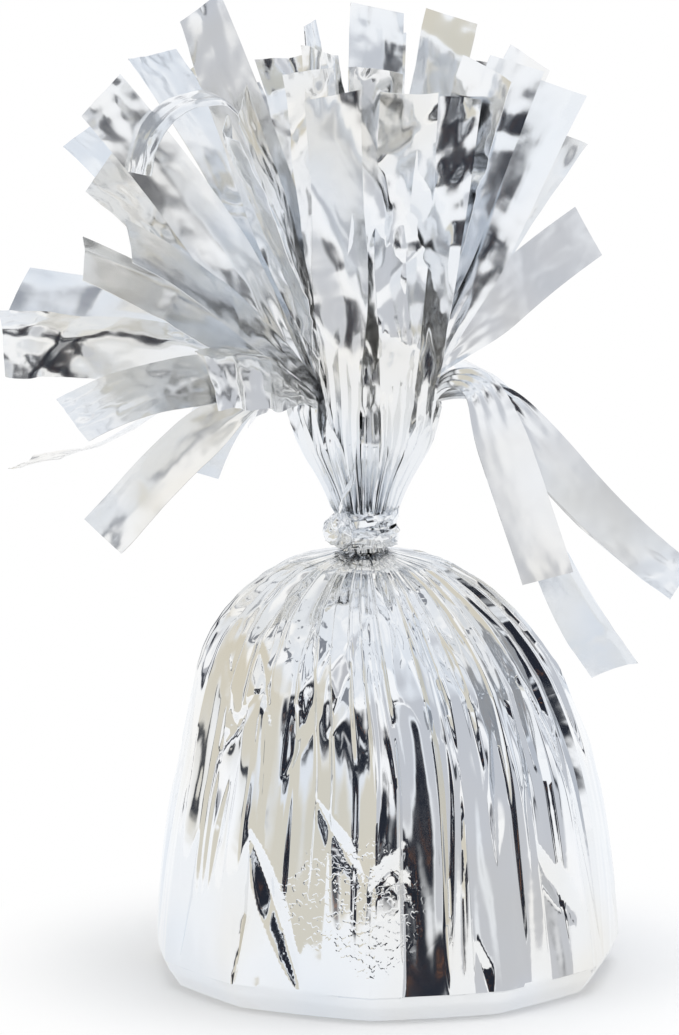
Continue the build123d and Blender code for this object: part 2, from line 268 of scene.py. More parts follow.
class BodySettings(bpy.types.PropertyGroup):
    """Sizes of the wrapped bell body."""

    base_radius: FloatProperty(
        name="Base radius", description="Widest radius, above the hem", unit="LENGTH",
        default=0.0342)
    dome_height: FloatProperty(
        name="Dome height", description="Height at which the bell closes", unit="LENGTH", default=0.0615)
    dome_power: FloatProperty(
        name="Dome fullness", description="How square the bell's shoulder is", default=2.35)
    hem_height: FloatProperty(
        name="Hem height", description="Height of the drawn-in base edge", unit="LENGTH", default=0.0035)
    hem_inset: FloatProperty(
        name="Hem inset", description="How far the base edge is drawn in", unit="LENGTH", default=0.0024)
    waist_radius: FloatProperty(
        name="Waist radius", description="Radius of the gathered film under the tie", unit="LENGTH",
        default=0.005)


class NeckSettings(bpy.types.PropertyGroup):
    """Sizes of the gathered neck."""

    throat_radius: FloatProperty(
        name="Throat radius", description="Radius inside the tie", unit="LENGTH", default=0.0038)
    rim_radius: FloatProperty(
        name="Rim radius", description="Radius where the slits begin", unit="LENGTH",
        default=(NECK_HIGH.y - NECK_LOW.y) / 2)
    pleats: IntProperty(name="Pleats", description="Number of folds round the neck", default=15)


class RibbonSettings(bpy.types.PropertyGroup):
    """Sizes of the slit strips."""

    length: FloatProperty(
        name="Slit length", description="Length of a strip of share 1", unit="LENGTH", default=0.05)
    width: FloatProperty(
        name="Strip width", description="Width of a strip away from its root", unit="LENGTH", default=0.008)
    root_width: FloatProperty(
        name="Root width", description="Width of a strip where it is bunched", unit="LENGTH", default=0.0026)
    ring_pitch: FloatProperty(
        name="Ring pitch", description="Spacing of the rings that the strips start on", unit="LENGTH",
        default=0.0026)


class StageSettings(bpy.types.PropertyGroup):
    """Camera, floor and light."""

    distance: FloatProperty(
        name="Camera distance", description="From the camera to the object", unit="LENGTH", default=0.8)
    elevation: FloatProperty(
        name="Camera elevation", description="Downward tilt of the camera", subtype="ANGLE",
        default=radians(10))
    aim: FloatVectorProperty(
        name="Aim", description="Point in the middle of the picture", subtype="XYZ", unit="LENGTH",
        default=(-0.00665, 0.0, 0.065774))
    lens: FloatProperty(name="Lens", description="Focal length on a 36 mm sensor, in mm", default=194.6)
    floor_size: FloatProperty(
        name="Floor size", description="Half width of the floor", unit="LENGTH", default=0.3)
    floor_colour: FloatVectorProperty(
        name="Floor colour", description="Colour of the plain floor", subtype="COLOR",
        default=(0.93, 0.93, 0.93), min=0.0, max=1.0)


class WeightSettings(bpy.types.PropertyGroup):
    """All settings of the balloon weight."""

    film: PointerProperty(type=FilmSettings)
    body: PointerProperty(type=BodySettings)
    neck: PointerProperty(type=NeckSettings)
    ribbon: PointerProperty(type=RibbonSettings)
    stage: PointerProperty(type=StageSettings)


def ease(share):
    """Smooth rise from 0 to 1."""
    share = max(0.0, min(1.0, share))
    return share * share * (3 - 2 * share)


def rise_over(value, span):
    """Smooth rise from 0 to 1 across a span."""
    low, high = span
    return ease((value - low) / (high - low))


def front_angle(turn):
    """Angle of a place given in degrees to the right of the front."""
    return radians(turn - 90) % tau


def turn_gap(angle, place):
    """Signed turn from a place to an angle."""
    return (angle - place + pi) % tau - pi


def sector(starts, angle):
    """Which of a ring of sectors holds an angle, how wide it is and how far in the angle lies."""
    i = bisect.bisect_right(starts, angle) - 1
    start = starts[i]
    return i, (starts[(i + 1) % len(starts)] - start) % tau, (angle - start) % tau


def heading(azimuth, lean):
    """Unit direction for an azimuth and a lean in degrees."""
    turn = radians(azimuth)
    tilt = radians(lean)
    return Vector((sin(tilt) * cos(turn), sin(tilt) * sin(turn), cos(tilt)))


class Strip(NamedTuple):
    """One strip: the ring and direction it starts in, how its centre line bends and how its film lies."""

    ring: int
    azimuth: float
    leans: tuple
    roll: float
    share: float
    crumple: float
    twist: float = None
    middle: float = 0.5
    sway: tuple = (0.0, 0.0)

    def along(self, share):
        """Direction of the centre line at a share of the length."""
        root, centre, tip = self.leans
        if share < self.middle:
            lean = root + (centre - root) * ease(share / self.middle)
        else:
            lean = centre + (tip - centre) * ease((share - self.middle) / (1 - self.middle))
        return heading(self.azimuth, lean)


def zigzag(share):
    """Sharp wave of period 1 between -1 and 1."""
    return 4 * abs(share - (share + 0.5) // 1) - 1


def creases(point, scale):
    """Sharp creased relief, about -1 to 1, from three layers of folded noise."""
    total = 0.0
    weight = 1.0
    for layer in range(3):
        folded = 1 - 2 * abs(noise.noise(point * scale + Vector((7.3 * layer, 1.7, 4.1))))
        total += weight * folded
        weight *= 0.5
        scale *= 2.1
    return total / 1.75 - 0.55


# Node helpers and shared shader groups

def feed(tree, inputs, values):
    """Link each input to a socket, or set it to a value."""
    for key, value in values.items():
        if isinstance(value, bpy.types.NodeSocket):
            tree.links.new(value, inputs[key])
        else:
            inputs[key].default_value = value


def add_node(tree, kind, values, **properties):
    """Add a node, set its properties and feed its inputs."""
    node = tree.nodes.new(kind)
    for key, value in properties.items():
        setattr(node, key, value)
    feed(tree, node.inputs, values)
    return node


def noise_value(tree, place, scale, detail=2.0, roughness=0.5):
    """Noise over a position."""
    values = {"Vector": place, "Scale": scale, "Detail": detail, "Roughness": roughness}
    return add_node(tree, "ShaderNodeTexNoise", values).outputs["Fac"]


def rise(tree, value, low, high):
    """Smooth rise from 0 at low to 1 at high."""
    values = {"Value": value, "From Min": low, "From Max": high}
    return add_node(tree, "ShaderNodeMapRange", values, interpolation_type="SMOOTHSTEP").outputs["Result"]


def maths(tree, operation, first, second):
    """One operation on two values."""
    return add_node(tree, "ShaderNodeMath", {0: first, 1: second}, operation=operation).outputs[0]


def product(tree, first, *others):
    """Masks multiplied together."""
    for other in others:
        first = maths(tree, "MULTIPLY", first, other)
    return first


def colour_ramp(tree, value, stops):
    """Colours at positions along a value."""
    node = add_node(tree, "ShaderNodeValToRGB", {"Fac": value})
    elements = node.color_ramp.elements
    ends = (elements[0], elements[1])
    for element, (position, colour) in zip(ends, (stops[0], stops[-1])):
        element.position = position
        element.color = (*colour, 1)
    for position, colour in stops[1:-1]:
        elements.new(position).color = (*colour, 1)
    return node.outputs["Color"]


def bumped(tree, height, distance):
    """Normal of a relief."""
    return add_node(tree, "ShaderNodeBump", {"Height": height, "Distance": distance}).outputs["Normal"]


def new_material(name):
    """A material with its tree, its Principled shader and its object coordinates."""
    material = bpy.data.materials.new(name)
    material.use_nodes = True
    tree = material.node_tree
    place = tree.nodes.new("ShaderNodeTexCoord").outputs["Object"]
    return material, tree, tree.nodes["Principled BSDF"], place


def film_relief_group():
    """Fine crinkle of metallised film: a height, a roughness and a tint mask from a position."""
    tree = bpy.data.node_groups.new("film_relief", "ShaderNodeTree")
    for kind, name, default in (
        ("Vector", "Position", (0.0, 0.0, 0.0)), ("Vector", "Fleck centre", (-0.006, -0.033, 0.016)),
        ("Float", "Crease scale", 260.0), ("Float", "Ripple scale", 90.0), ("Float", "Crease share", 0.5),
        ("Float", "Fleck depth", 0.0),
    ):
        socket = tree.interface.new_socket(name, in_out="INPUT", socket_type=f"NodeSocket{kind}")
        socket.default_value = default
    for name in ("Height", "Roughness", "Tint"):
        tree.interface.new_socket(name, in_out="OUTPUT", socket_type="NodeSocketFloat")
    given = tree.nodes.new("NodeGroupInput").outputs
    place = given["Position"]

    warp = add_node(tree, "ShaderNodeTexNoise", {"Vector": place, "Scale": 120.0, "Detail": 2.0}).outputs["Color"]
    bent = add_node(tree, "ShaderNodeVectorMath", {0: warp, 1: (0.004, 0.004, 0.004), 2: place},
                    operation="MULTIPLY_ADD").outputs[0]
    fold = add_node(tree, "ShaderNodeTexVoronoi", {"Vector": bent, "Scale": given["Crease scale"]},
                    feature="DISTANCE_TO_EDGE").outputs["Distance"]
    ripple = noise_value(tree, place, given["Ripple scale"], 3.0, 0.55)
    level = add_node(tree, "ShaderNodeMix", {0: given["Crease share"], 2: ripple, 3: rise(tree, fold, 0.0, 0.22)},
                     data_type="FLOAT").outputs[0]

    pits = rise(tree, noise_value(tree, place, 1100.0, 1.0), 0.54, 0.64)
    patch = rise(tree, noise_value(tree, place, 36.0), 0.38, 0.5)
    reach = add_node(tree, "ShaderNodeVectorMath", {0: place, 1: given["Fleck centre"]}, operation="DISTANCE")
    near = rise(tree, reach.outputs["Value"], 0.012, 0.006)
    sunk = product(tree, pits, patch, near, given["Fleck depth"])

    haze = noise_value(tree, place, 55.0, 4.0, 0.6)
    span = {"Value": haze, "From Min": 0.3, "From Max": 0.75, "To Min": 0.025, "To Max": 0.1}
    feed(tree, tree.nodes.new("NodeGroupOutput").inputs, {
        "Height": maths(tree, "SUBTRACT", level, sunk),
        "Roughness": add_node(tree, "ShaderNodeMapRange", span).outputs["Result"],
        "Tint": noise_value(tree, bent, 38.0),
    })


def film_material(name, film, crease_scale, ripple_scale, crease_share, bump, rough_add, flecks=0.0):
    """Bright metallised film with its own crinkle scale."""
    _, tree, shader, place = new_material(name)
    relief = add_node(tree, "ShaderNodeGroup", {}, node_tree=bpy.data.node_groups["film_relief"])
    feed(tree, relief.inputs, {
        "Position": place, "Crease scale": crease_scale, "Ripple scale": ripple_scale,
        "Crease share": crease_share, "Fleck depth": flecks,
    })
    stops = ((0.32, film.cool), (0.5, film.silver), (0.7, film.warm))
    feed(tree, shader.inputs, {
        "Metallic": 1.0,
        "Base Color": colour_ramp(tree, relief.outputs["Tint"], stops),
        "Roughness": maths(tree, "ADD", relief.outputs["Roughness"], rough_add),
        "Normal": bumped(tree, relief.outputs["Height"], bump),
    })


def core_material(name, dark, light, scale, roughness, bump):
    """Dull hidden piece: two close colours, a speckle and a fine bump."""
    material, tree, shader, place = new_material(name)
    grain = noise_value(tree, place, scale, 5.0)
    feed(tree, shader.inputs, {
        "Roughness": roughness,
        "Base Color": colour_ramp(tree, grain, ((0.35, dark), (0.65, light))),
        "Normal": bumped(tree, grain, bump),
    })
    return material


def add_object(name, data):
    """A new object in the scene."""
    holder = bpy.data.objects.new(name, data)
    bpy.context.scene.collection.objects.link(holder)
    return holder


def film_piece(name, shape, finish, nodes, sharp=40.0):
    """Turn a finished bmesh into a film piece that stands for its solids."""
    mesh = bpy.data.meshes.new(name)
    shape.edges.index_update()
    rims = [edge.index for edge in shape.edges if edge.is_boundary]
    shape.to_mesh(mesh)
    shape.free()
    mesh.shade_smooth()
    mesh.set_sharp_from_angle(angle=radians(sharp))
    for index in rims:
        mesh.edges[index].use_edge_sharp = True
    mesh.materials.append(bpy.data.materials[finish])
    piece = add_object(name, mesh)
    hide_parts(*nodes)
    return piece


def give_thickness(piece, thickness):
    """Film thickness as a live modifier."""
    solid = piece.modifiers.new("film", "SOLIDIFY")
    solid.thickness = thickness
    solid.offset = 0.0
    solid.use_even_offset = False


def spun_profile(profile, steps, centre):
    """Spin a chain of (radius, height) points into a closed skin."""
    shape = bmesh.new()
    verts = [shape.verts.new((centre + radius, 0, height)) for radius, height in profile]
    edges = [shape.edges.new(pair) for pair in zip(verts, verts[1:])]
    bmesh.ops.spin(shape, geom=verts + edges, cent=(centre, 0, 0), axis=(0, 0, 1), angle=tau,
                   steps=steps, use_merge=True, use_duplicate=False)
    bmesh.ops.remove_doubles(shape, verts=shape.verts[:], dist=MERGED)
    return shape


def polar(verts, centre):
    """Each vertex with its offsets, radius and angle about an upright axis."""
    for vert in verts:
        x, y, z = vert.co.x - centre, vert.co.y, vert.co.z
        yield vert, x, y, z, hypot(x, y), atan2(y, x)


class WrapFilm:
    """Relief of the wrap: flat panels between long creases, pleats from the neck and pinched dents."""

    def __init__(self, dome, radius):
        rng = random.Random(WRAP_SEED)
        self.dome = dome
        self.base = radius
        self.corners = sorted(front_angle(turn) for turn in HEM_CORNERS)
        panels = sorted((front_angle(turn), straight) for turn, straight in PANELS)
        self.starts = [start for start, _ in panels]
        self.straights = [straight for _, straight in panels]
        self.fold_depths = [rng.uniform(0.5, 1.5) for _ in panels]
        self.creases = []
        for low, high, count in CREASE_BANDS:
            for k in range(count):
                self.creases.append((
                    tau * (k + rng.uniform(-0.4, 0.4)) / count, rng.uniform(low, high) * MM,
                    rng.uniform(-0.05, 0.05), rng.uniform(-2.2, 2.2), rng.uniform(0, 6),
                    rng.uniform(0.5, 0.9) * MM, rng.uniform(1.2, 4.0) * MM,
                    rng.choice((-1, 1)), rng.choice((-0.6, 1, 1)) * rng.uniform(0.1, 0.5) * MM,
                ))
        self.gathers = [(tau * (k + rng.uniform(-0.35, 0.35)) / GATHER_COUNT, rng.uniform(0.07, 0.16),
                         rng.uniform(0.06, 0.2), rng.uniform(48, 54) * MM) for k in range(GATHER_COUNT)]
        self.dents = [(front_angle(turn), level * MM, tall * MM, wide * MM, deep * MM, lean)
                      for turn, level, tall, wide, deep, lean in FRONT_DENTS]
        for _ in range(BACK_DENTS):
            self.dents.append((rng.uniform(0, pi), rng.uniform(6, 48) * MM, rng.uniform(3, 9) * MM,
                               rng.uniform(0.9, 2.2) * MM, rng.uniform(0.2, 0.7) * MM, rng.uniform(-0.25, 0.25)))

    def panel(self, angle):
        """How straight the panel at an angle is drawn, and how far the shoulder fold sinks there."""
        i, span, past = sector(self.starts, angle)
        before = self.straights[i - 1]
        turn = ease(past / FOLD_TURN)
        straight = before + (self.straights[i] - before) * turn
        if past < FOLD_TURN:
            return straight, (1 - turn) * self.fold_depths[i - 1]
        return straight, (past - FOLD_TURN) / (span - FOLD_TURN) * self.fold_depths[i]

    def hem_cut(self, angle):
        """How far the flat sides between the hem's corners lie inside the circle, as a share of its radius."""
        _, span, past = sector(self.corners, angle)
        return 1 - cos(span / 2) / cos(past - span / 2)

    def form(self, angle, z, radius):
        """Cornered hem, drawn panels and shoulder folds."""
        inward = radius * self.hem_cut(angle) * (0.75 - 0.65 * rise_over(z, CORNER_SPAN))
        straight, across = self.panel(angle)
        low, top = PANEL_SPAN
        if low < z < top:
            line = self.base + (self.dome(top) - self.base) * (z - low) / (top - low)
            inward += straight * max(0.0, self.dome(z) - line)
        return inward + across * rise_over(z, SHOULDER_SPAN) * radius / self.base * FOLD_DEPTH

    def fine_relief(self, angle, z, radius):
        """Creases, gathers under the tie and dents."""
        inward = 0.0
        scale = max(0.16, radius / self.base)
        for bearing, foot, drift, slant, phase, steep, gentle, side, depth in self.creases:
            grown = ease((z - foot) / CREASE_GROWTH + 0.1 * (foot < 3 * MM))
            if grown <= 0:
                continue
            place = bearing + drift * sin(z / (13 * MM) + phase) + slant * (z - 30 * MM)
            gap = turn_gap(angle, place) * radius * side
            wide = (gentle if gap > 0 else steep) * scale ** 0.8
            if abs(gap) < wide:
                inward += grown * depth * scale ** 0.5 * (1 - abs(gap) / wide)
        for place, half, deep, foot in self.gathers:
            gap = abs(turn_gap(angle, place))
            if gap < half and z > foot:
                inward += radius * deep * (1 - gap / half) * ease((z - foot) / GATHER_GROWTH)
        for turn, level, tall, wide, deep, lean in self.dents:
            climb = z - level
            if abs(climb) < tall:
                gap = turn_gap(angle, turn) * radius - lean * climb
                room = wide * (1 - abs(climb) / tall) ** 0.7
                if abs(gap) < room:
                    inward += deep * (1 - abs(gap) / room) * (1 - abs(climb) / tall) ** 0.5
        return inward

    def dip(self, angle, z, radius, detail):
        """How far the film lies inside the round bell at an angle and a height."""
        angle %= tau
        return self.form(angle, z, radius) + self.fine_relief(angle, z, radius) * detail


class BALLOON_OT_wrap(bpy.types.Operator):
    """Pleated film wrap over the bell, tucked, creased and drawn in under the tie"""

    bl_idname = "balloon_weight.wrap"
    bl_label = "Film wrap"

    def execute(self, context):
        body = context.scene.balloon_weight.body

        def dome(height):
            return body.base_radius * (1 - (height / body.dome_height) ** body.dome_power) ** (1 / body.dome_power)

        hem_radius = body.base_radius - body.hem_inset
        profile = [(0.0, 0.0), (body.base_radius * 0.6, 0.0), (hem_radius, 0.0)]
        for share in (0.25, 0.5, 0.75):
            profile.append((hem_radius + body.hem_inset * share, body.hem_height * share))
        for step in range(WRAP_ROWS):
            turn = pi / 2 * step / WRAP_ROWS
            height = body.hem_height + (0.995 * body.dome_height - body.hem_height) * sin(turn)
            profile.append((max(body.waist_radius, dome(height)), height))
            if step == 0:
                profile.append((dome(height + TUCK_RISE), height + TUCK_RISE))
        profile.extend(((body.waist_radius, WRAP_HIGH.z), (0.0, WRAP_HIGH.z)))
        shape = spun_profile(profile, WRAP_STEPS, 0.0)

        film = WrapFilm(dome, body.base_radius)
        for vert, x, y, z, radius, angle in polar(shape.verts, 0.0):
            if radius < MERGED:
                continue
            edge = 0.15 + 0.85 * rise_over(z, EDGE_SPAN)
            out = Vector((cos(angle), sin(angle), 0))
            wave = noise.noise(out * 5 + Vector((0, 0, z * 45))) * WAVE_HEIGHT
            wave += noise.noise(out * 15 + Vector((0, 0, z * 80))) * FINE_WAVE_HEIGHT
            crumple = creases(Vector((x, y, z * 0.5)), 105) * CRUMPLE_HEIGHT * rise_over(z, CRUMPLE_SPAN)
            fullness = min(1.0, radius / (9 * MM))
            radius_new = radius - film.dip(angle, z, radius, edge) - SKIN_INSET
            radius_new += (wave + crumple) * edge * fullness
            if abs(z - body.hem_height) < 0.01 * MM:
                radius_new -= (0.55 + 0.7 * noise.noise(out * 4)) * MM
            radius_new *= 1 - 0.35 * rise_over(z, PINCH_SPAN)
            radius_new = max(0.45 * radius, min(radius + SKIN_BULGE, radius_new))
            vert.co.x = radius_new * cos(angle) + NECK_X * rise_over(z, LEAN_SPAN)
            vert.co.y = radius_new * sin(angle)
        bmesh.ops.recalc_face_normals(shape, faces=shape.faces[:])
        piece = film_piece("foil_wrap_film", shape, "wrap_film", ["foil_wrap"], sharp=50)
        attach(piece, "root")
        return {"FINISHED"}


def neck_radius(neck, level):
    """Radius of the gathered neck at a height."""
    share = max(0.0, min(1.0, (level - BAND_HIGH.z) / (NECK_HIGH.z - BAND_HIGH.z)))
    return neck.throat_radius + (neck.rim_radius - neck.throat_radius) * (0.5 * share + 0.5 * ease(share))


class BALLOON_OT_neck(bpy.types.Operator):
    """Gathered neck: deep folds drawn in under the tie and flared to a ragged rim"""

    bl_idname = "balloon_weight.neck"
    bl_label = "Gathered neck"

    def execute(self, context):
        neck = context.scene.balloon_weight.neck
        film = context.scene.balloon_weight.film
        low, tie_low, tie_high = NECK_LOW.z, BAND_LOW.z, BAND_HIGH.z
        rim = NECK_HIGH.z - SLIT_DEPTH
        profile = [(neck.throat_radius + 1.0 * MM, low), (neck.throat_radius, tie_low)]
        for step in range(1, TIE_ROWS + 1):
            profile.append((neck.throat_radius, tie_low + (tie_high - tie_low) * step / TIE_ROWS))
        for step in range(1, NECK_ROWS + 1):
            level = tie_high + (rim - tie_high) * step / NECK_ROWS
            profile.append((neck_radius(neck, level), level))
        shape = spun_profile(profile, NECK_STEPS, NECK_X)
        rng = random.Random(NECK_SEED)
        folds = [(rng.uniform(0.6, 1.3), rng.uniform(0, 1)) for _ in range(neck.pleats)]
        for vert, x, y, z, radius, angle in polar(shape.verts, NECK_X):
            up = max(0.0, (z - tie_high) / (rim - tie_high))
            swing = 0.07 * sin(z / (7 * MM) + 3 * angle) * ease(up * 2)
            turn = (angle + swing) / tau * neck.pleats
            nearest = int((turn + 0.5) // 1)
            deep, lean = folds[nearest % neck.pleats]
            wave = max(0.0, 1 - abs(turn - nearest) / (0.16 + 0.22 * lean))
            dip = deep * wave * (0.2 * radius + PLEAT_DEPTH * ease(up * 3))
            fine = (zigzag(angle * 4.9 + 0.3 * sin(z / (4 * MM))) + 1) * 0.1 * MM
            relief = creases(Vector((x, y, z * 0.35)), 130) * NECK_CREASE * ease((z - low) / (4 * MM))
            radius_new = max(1.2 * MM, radius - dip - fine + relief)
            vert.co.x = NECK_X + radius_new * cos(angle)
            vert.co.y = radius_new * sin(angle)
            ragged = RAGGED_EDGE * noise.noise(Vector((cos(angle) * 4, sin(angle) * 4, 2.0)))
            vert.co.z = z + (ragged - 0.6 * MM * lean) * ease(up)
        bmesh.ops.recalc_face_normals(shape, faces=shape.faces[:])
        piece = film_piece("foil_neck_film", shape, "neck_film", ["foil_neck"], sharp=34)
        give_thickness(piece, film.thickness)
        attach(piece, "root")
        return {"FINISHED"}


class BALLOON_OT_tie(bpy.types.Operator):
    """Twisted film tie: two crossed turns, the knot and a short loose end"""

    bl_idname = "balloon_weight.tie"
    bl_label = "Tie"

    def execute(self, context):
        film = context.scene.balloon_weight.film
        shape = bmesh.new()
        middle = (BAND_LOW.z + BAND_HIGH.z) / 2
        centre = (BAND_HIGH.x - BAND_LOW.x) / 2 - TIE_INSET
        for turn, (climb, tilt, swing) in enumerate(TIE_TURNS):
            ring = bmesh.ops.create_circle(shape, segments=TIE_SIDES, radius=TIE_RADIUS)["verts"]
            bmesh.ops.rotate(shape, verts=ring, cent=(0, 0, 0), matrix=Matrix.Rotation(pi / 2, 3, "X"))
            bmesh.ops.translate(shape, verts=ring, vec=(centre, 0, 0))
            edges = list({edge for vert in ring for edge in vert.link_edges})
            before = set(shape.verts)
            bmesh.ops.spin(shape, geom=ring + edges, cent=(0, 0, 0), axis=(0, 0, 1), angle=tau,
                           steps=TIE_STEPS, use_merge=True, use_duplicate=False)
            verts = ring + [vert for vert in shape.verts if vert not in before]
            for vert, x, y, z, radius, angle in polar(verts, 0.0):
                out = radius - centre
                round_it = atan2(z, out)
                size = hypot(out, z)
                lobes = 1 + 0.24 * zigzag((3 * round_it - 2 * angle + turn) / tau)
                lobes += 0.1 * zigzag((7 * round_it - 4 * angle) / tau + 0.25 * sin(3 * angle))
                size *= lobes * (1 + 0.06 * creases(Vector((x, y, z + turn * 0.02)), 210))
                radius = centre + size * cos(round_it)
                vert.co.x = radius * cos(angle)
                vert.co.y = radius * sin(angle)
                vert.co.z = size * sin(round_it) * 1.1
            lean = Matrix.Rotation(radians(tilt), 3, heading(swing, 90))
            bmesh.ops.rotate(shape, verts=verts, cent=(0, 0, 0), matrix=lean)
            bmesh.ops.translate(shape, verts=verts, vec=(NECK_X, 0, middle + climb))
        bmesh.ops.recalc_face_normals(shape, faces=shape.faces[:])
        piece = film_piece("tie_band_film", shape, "tie_film", ["tie_band"], sharp=50)
        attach(piece, "root")

        low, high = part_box("tie_knot")
        size = high - low
        shape = bmesh.new()
        bmesh.ops.create_icosphere(shape, subdivisions=5, radius=0.5)
        for vert in shape.verts:
            away = vert.co.normalized()
            swirl = 0.16 * zigzag((3 * atan2(vert.co.z, vert.co.x) + 6 * vert.co.y) / tau)
            vert.co = away * 0.5 * (1 + swirl + 0.14 * creases(away * 0.012, 150))
        bmesh.ops.scale(shape, verts=shape.verts[:], vec=(size.x * 1.05, size.y * 1.05, size.z * 0.95))
        bmesh.ops.translate(shape, verts=shape.verts[:], vec=(low + high) / 2)
        piece = film_piece("tie_knot_film", shape, "tie_film", ["tie_knot"], sharp=50)
        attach(piece, "root")

        low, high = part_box("tie_end")
        root = Vector(((low.x + high.x) / 2 - 1.0 * MM, (low.y + high.y) / 2 + 2.2 * MM, low.z))
        ribbon = Ribbon(Strip(*TIE_END), root, *END_SIZES, END_SEED)
        piece = film_piece("tie_end_film", ribbon.build(*END_GRID), "tie_film", ["tie_end"])
        give_thickness(piece, film.thickness)
        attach(piece, "root")
        return {"FINISHED"}


class Ribbon:
    """One slit strip of film: a bent centre line, a gathered root, long folds, creases and a cut tip."""

    def __init__(self, strip, root, slit, root_width, width, seed, foot=()):
        rng = random.Random(seed)
        crumple = self.crumple = strip.crumple
        self.width = width
        self.length = slit * strip.share
        self.sway, self.sway_start = strip.sway
        self.points = [spot for spot, _ in foot]
        self.widths = [wide for _, wide in foot]
        self.shares = [-(len(foot) - i) * MM / self.length for i in range(len(foot))]
        alongs = []
        for step in range(LINE_STEPS + 1):
            share = step / LINE_STEPS
            self.points.append(root)
            self.shares.append(share)
            self.widths.append(root_width + (width - root_width) * ease(share / OPEN_SHARE))
            alongs.append(strip.along(share))
            root = root + strip.along(min(1.0, (step + 0.5) / LINE_STEPS)) * (self.length / LINE_STEPS)
        side = heading(strip.azimuth + 90, 90)
        roll = radians(strip.roll)
        self.frames = []
        for i in range(len(foot)):
            along = (self.points[i + 1] - self.points[i]).normalized()
            turned = ease((i - len(foot) + FOOT_TURN_ROWS) / FOOT_TURN_ROWS)
            self.frames.append(self.frame(along, side, roll * turned))
        self.frames += [self.frame(along, side, roll) for along in alongs]
        self.folds = rng.choice((2, 2, 3))
        self.phase = rng.random()
        self.cup = rng.uniform(-0.07, 0.07)
        drawn = rng.uniform(-1, 1) * (4 + 26 * crumple)
        self.twist = radians(drawn if strip.twist is None else strip.twist)
        self.ripple = rng.uniform(0.5, 1.3)
        self.skew = rng.uniform(-0.6, 0.6)
        self.offset = Vector((rng.uniform(0, 40), rng.uniform(0, 40), rng.uniform(0, 40)))
        self.dog_ear = rng.choice((-1, 0, 0, 1)) * (crumple > 0.2)
        self.tip_cut = rng.uniform(-0.2, 0.2)
        self.tip_rough = rng.choice((0.0, 0.3, 0.9))
        self.long_folds = [(rng.uniform(-0.32, 0.32), rng.uniform(-0.2, 0.2),
                            rng.choice((-1, 1)) * rng.uniform(0.06, 0.14 + 0.8 * crumple))
                           for _ in range((crumple > 0.12) + round(crumple + 0.2))]
        self.kinks = [(rng.uniform(0.2, 0.95), rng.uniform(-1.1, 1.1),
                       rng.uniform(-1.0, 1.0) * (0.15 + 1.2 * crumple), rng.uniform(2.0, 5.5) * MM)
                      for _ in range(round(0.8 + 6 * crumple))]

    @staticmethod
    def frame(along, side, turn):
        """Directions across and out of the film."""
        flat = (side - along * side.dot(along)).normalized()
        across = Quaternion(along, turn) @ flat
        return across, along.cross(across)

    def at(self, run, side):
        """Point of the film at a share of the run and a share of the width, from -0.5 to 0.5."""
        place = run * (len(self.points) - 1)
        step = max(0, min(len(self.points) - 2, int(place)))
        mix = place - step
        share = self.shares[step] + (self.shares[step + 1] - self.shares[step]) * mix
        centre = self.points[step].lerp(self.points[step + 1], mix)
        across = self.frames[step][0].lerp(self.frames[step + 1][0], mix).normalized()
        normal = self.frames[step][1].lerp(self.frames[step + 1][1], mix).normalized()
        turn = self.twist * ease(share)
        across, normal = (across * cos(turn) + normal * sin(turn),
                          normal * cos(turn) - across * sin(turn))
        opened = ease(share / OPEN_SHARE)
        width = self.widths[step] + (self.widths[step + 1] - self.widths[step]) * mix
        spare = max(0.0, self.width - width)
        height = (1 - opened) * 0.1 * spare * zigzag(side * self.folds + self.phase)
        height += self.cup * self.width * (4 * side * side - 0.35) * opened
        for spot, lean, bend in self.long_folds:
            past = side - spot - lean * share
            height += bend * self.width * (max(0.0, past) - 0.25 * (0.5 - spot)) * ease(share * 2.5)
        down = share * self.length
        for spot, lean, bend, reach in self.kinks:
            past = down - spot * self.length + lean * side * self.width
            height += bend * KINK_HEIGHT * max(0.0, 1 - abs(past) / reach) * ease(share * 5)
        film = Vector((down / MM, side * self.width / MM, 0))
        bend = noise.noise(Vector((film.x * 0.06, film.y * 0.025, 0)) + self.offset)
        height += bend * RIPPLE_HEIGHT * self.ripple * ease(share * 3)
        height += self.sway * MM * sin(7 * share + self.sway_start + 2.4 * side) * ease(share * 4)
        rough = 0.05 + 1.5 * self.crumple + (0.4 + self.crumple) * (1 - ease(share / 0.55))
        rough += self.tip_rough * ease((share - TIP_SHARE) / 0.12)
        pitch = 1 + 0.5 * self.crumple
        grain = Vector((film.x * 0.085 * pitch, film.y * 0.19 * pitch + film.x * 0.03 * self.skew, 0))
        crinkle = creases(grain + self.offset, 1.0)
        grip = max(ease(share * 6 + 0.4), 0.55 * ease(-share * 12))
        height += crinkle * CRINKLE_HEIGHT * rough * grip * min(1.0, width / self.width + 0.15)
        if self.dog_ear:
            height += CORNER_HEIGHT * ease((share - TIP_SHARE) / 0.14 + self.dog_ear * side * 1.2 - 0.5)
        cut = self.tip_cut * side * self.width * ease((share - 0.75) / 0.25)
        along = across.cross(normal)
        return centre + across * (width * side) + normal * height + along * cut

    def build(self, columns, rows):
        """A grid bent to the strip's film."""
        shape = bmesh.new()
        bmesh.ops.create_grid(shape, x_segments=columns, y_segments=rows, size=0.5)
        for vert in shape.verts:
            vert.co = self.at(vert.co.y + 0.5, vert.co.x)
        return shape


